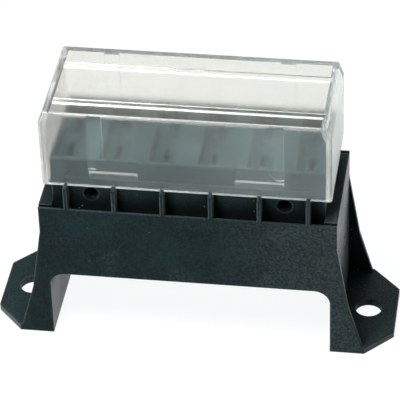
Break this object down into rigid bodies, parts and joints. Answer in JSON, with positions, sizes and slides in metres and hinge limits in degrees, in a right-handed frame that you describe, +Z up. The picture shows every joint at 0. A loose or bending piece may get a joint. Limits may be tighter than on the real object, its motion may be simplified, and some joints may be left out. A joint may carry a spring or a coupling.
{
  "type": "fuse box",
  "caption": "Blade fuse box with a black moulded housing on screw-down feet, spring terminals inside and a clear lift-off cover.",
  "frame": {"origin": "middle of the footprint, on the plane that the two feet stand on", "axes": "+X along the row of fuses and from foot to foot, +Z up through the cover, -Y the front"},
  "size_m": [0.0824, 0.0258, 0.0548],
  "materials": {
    "black_plastic": "fine moulded satin",
    "clear_plastic": "clear, slightly hazy gloss",
    "tinned_brass": "dull tin plate"
  },
  "bodies": {
    "base": {"housing": "black_plastic", "terminal_front_1": "tinned_brass", "terminal_front_2": "tinned_brass", "terminal_front_3": "tinned_brass", "terminal_front_4": "tinned_brass", "terminal_front_5": "tinned_brass", "terminal_front_6": "tinned_brass", "terminal_back_1": "tinned_brass", "terminal_back_2": "tinned_brass", "terminal_back_3": "tinned_brass", "terminal_back_4": "tinned_brass", "terminal_back_5": "tinned_brass", "terminal_back_6": "tinned_brass"},
    "lid": {"cover": "clear_plastic"}
  },
  "joints": [
    {"name": "cover_lift", "type": "slide", "parent": "base", "child": "lid", "axis": [0, 0, 1], "range_m": [0, 0.02]}
  ]
}
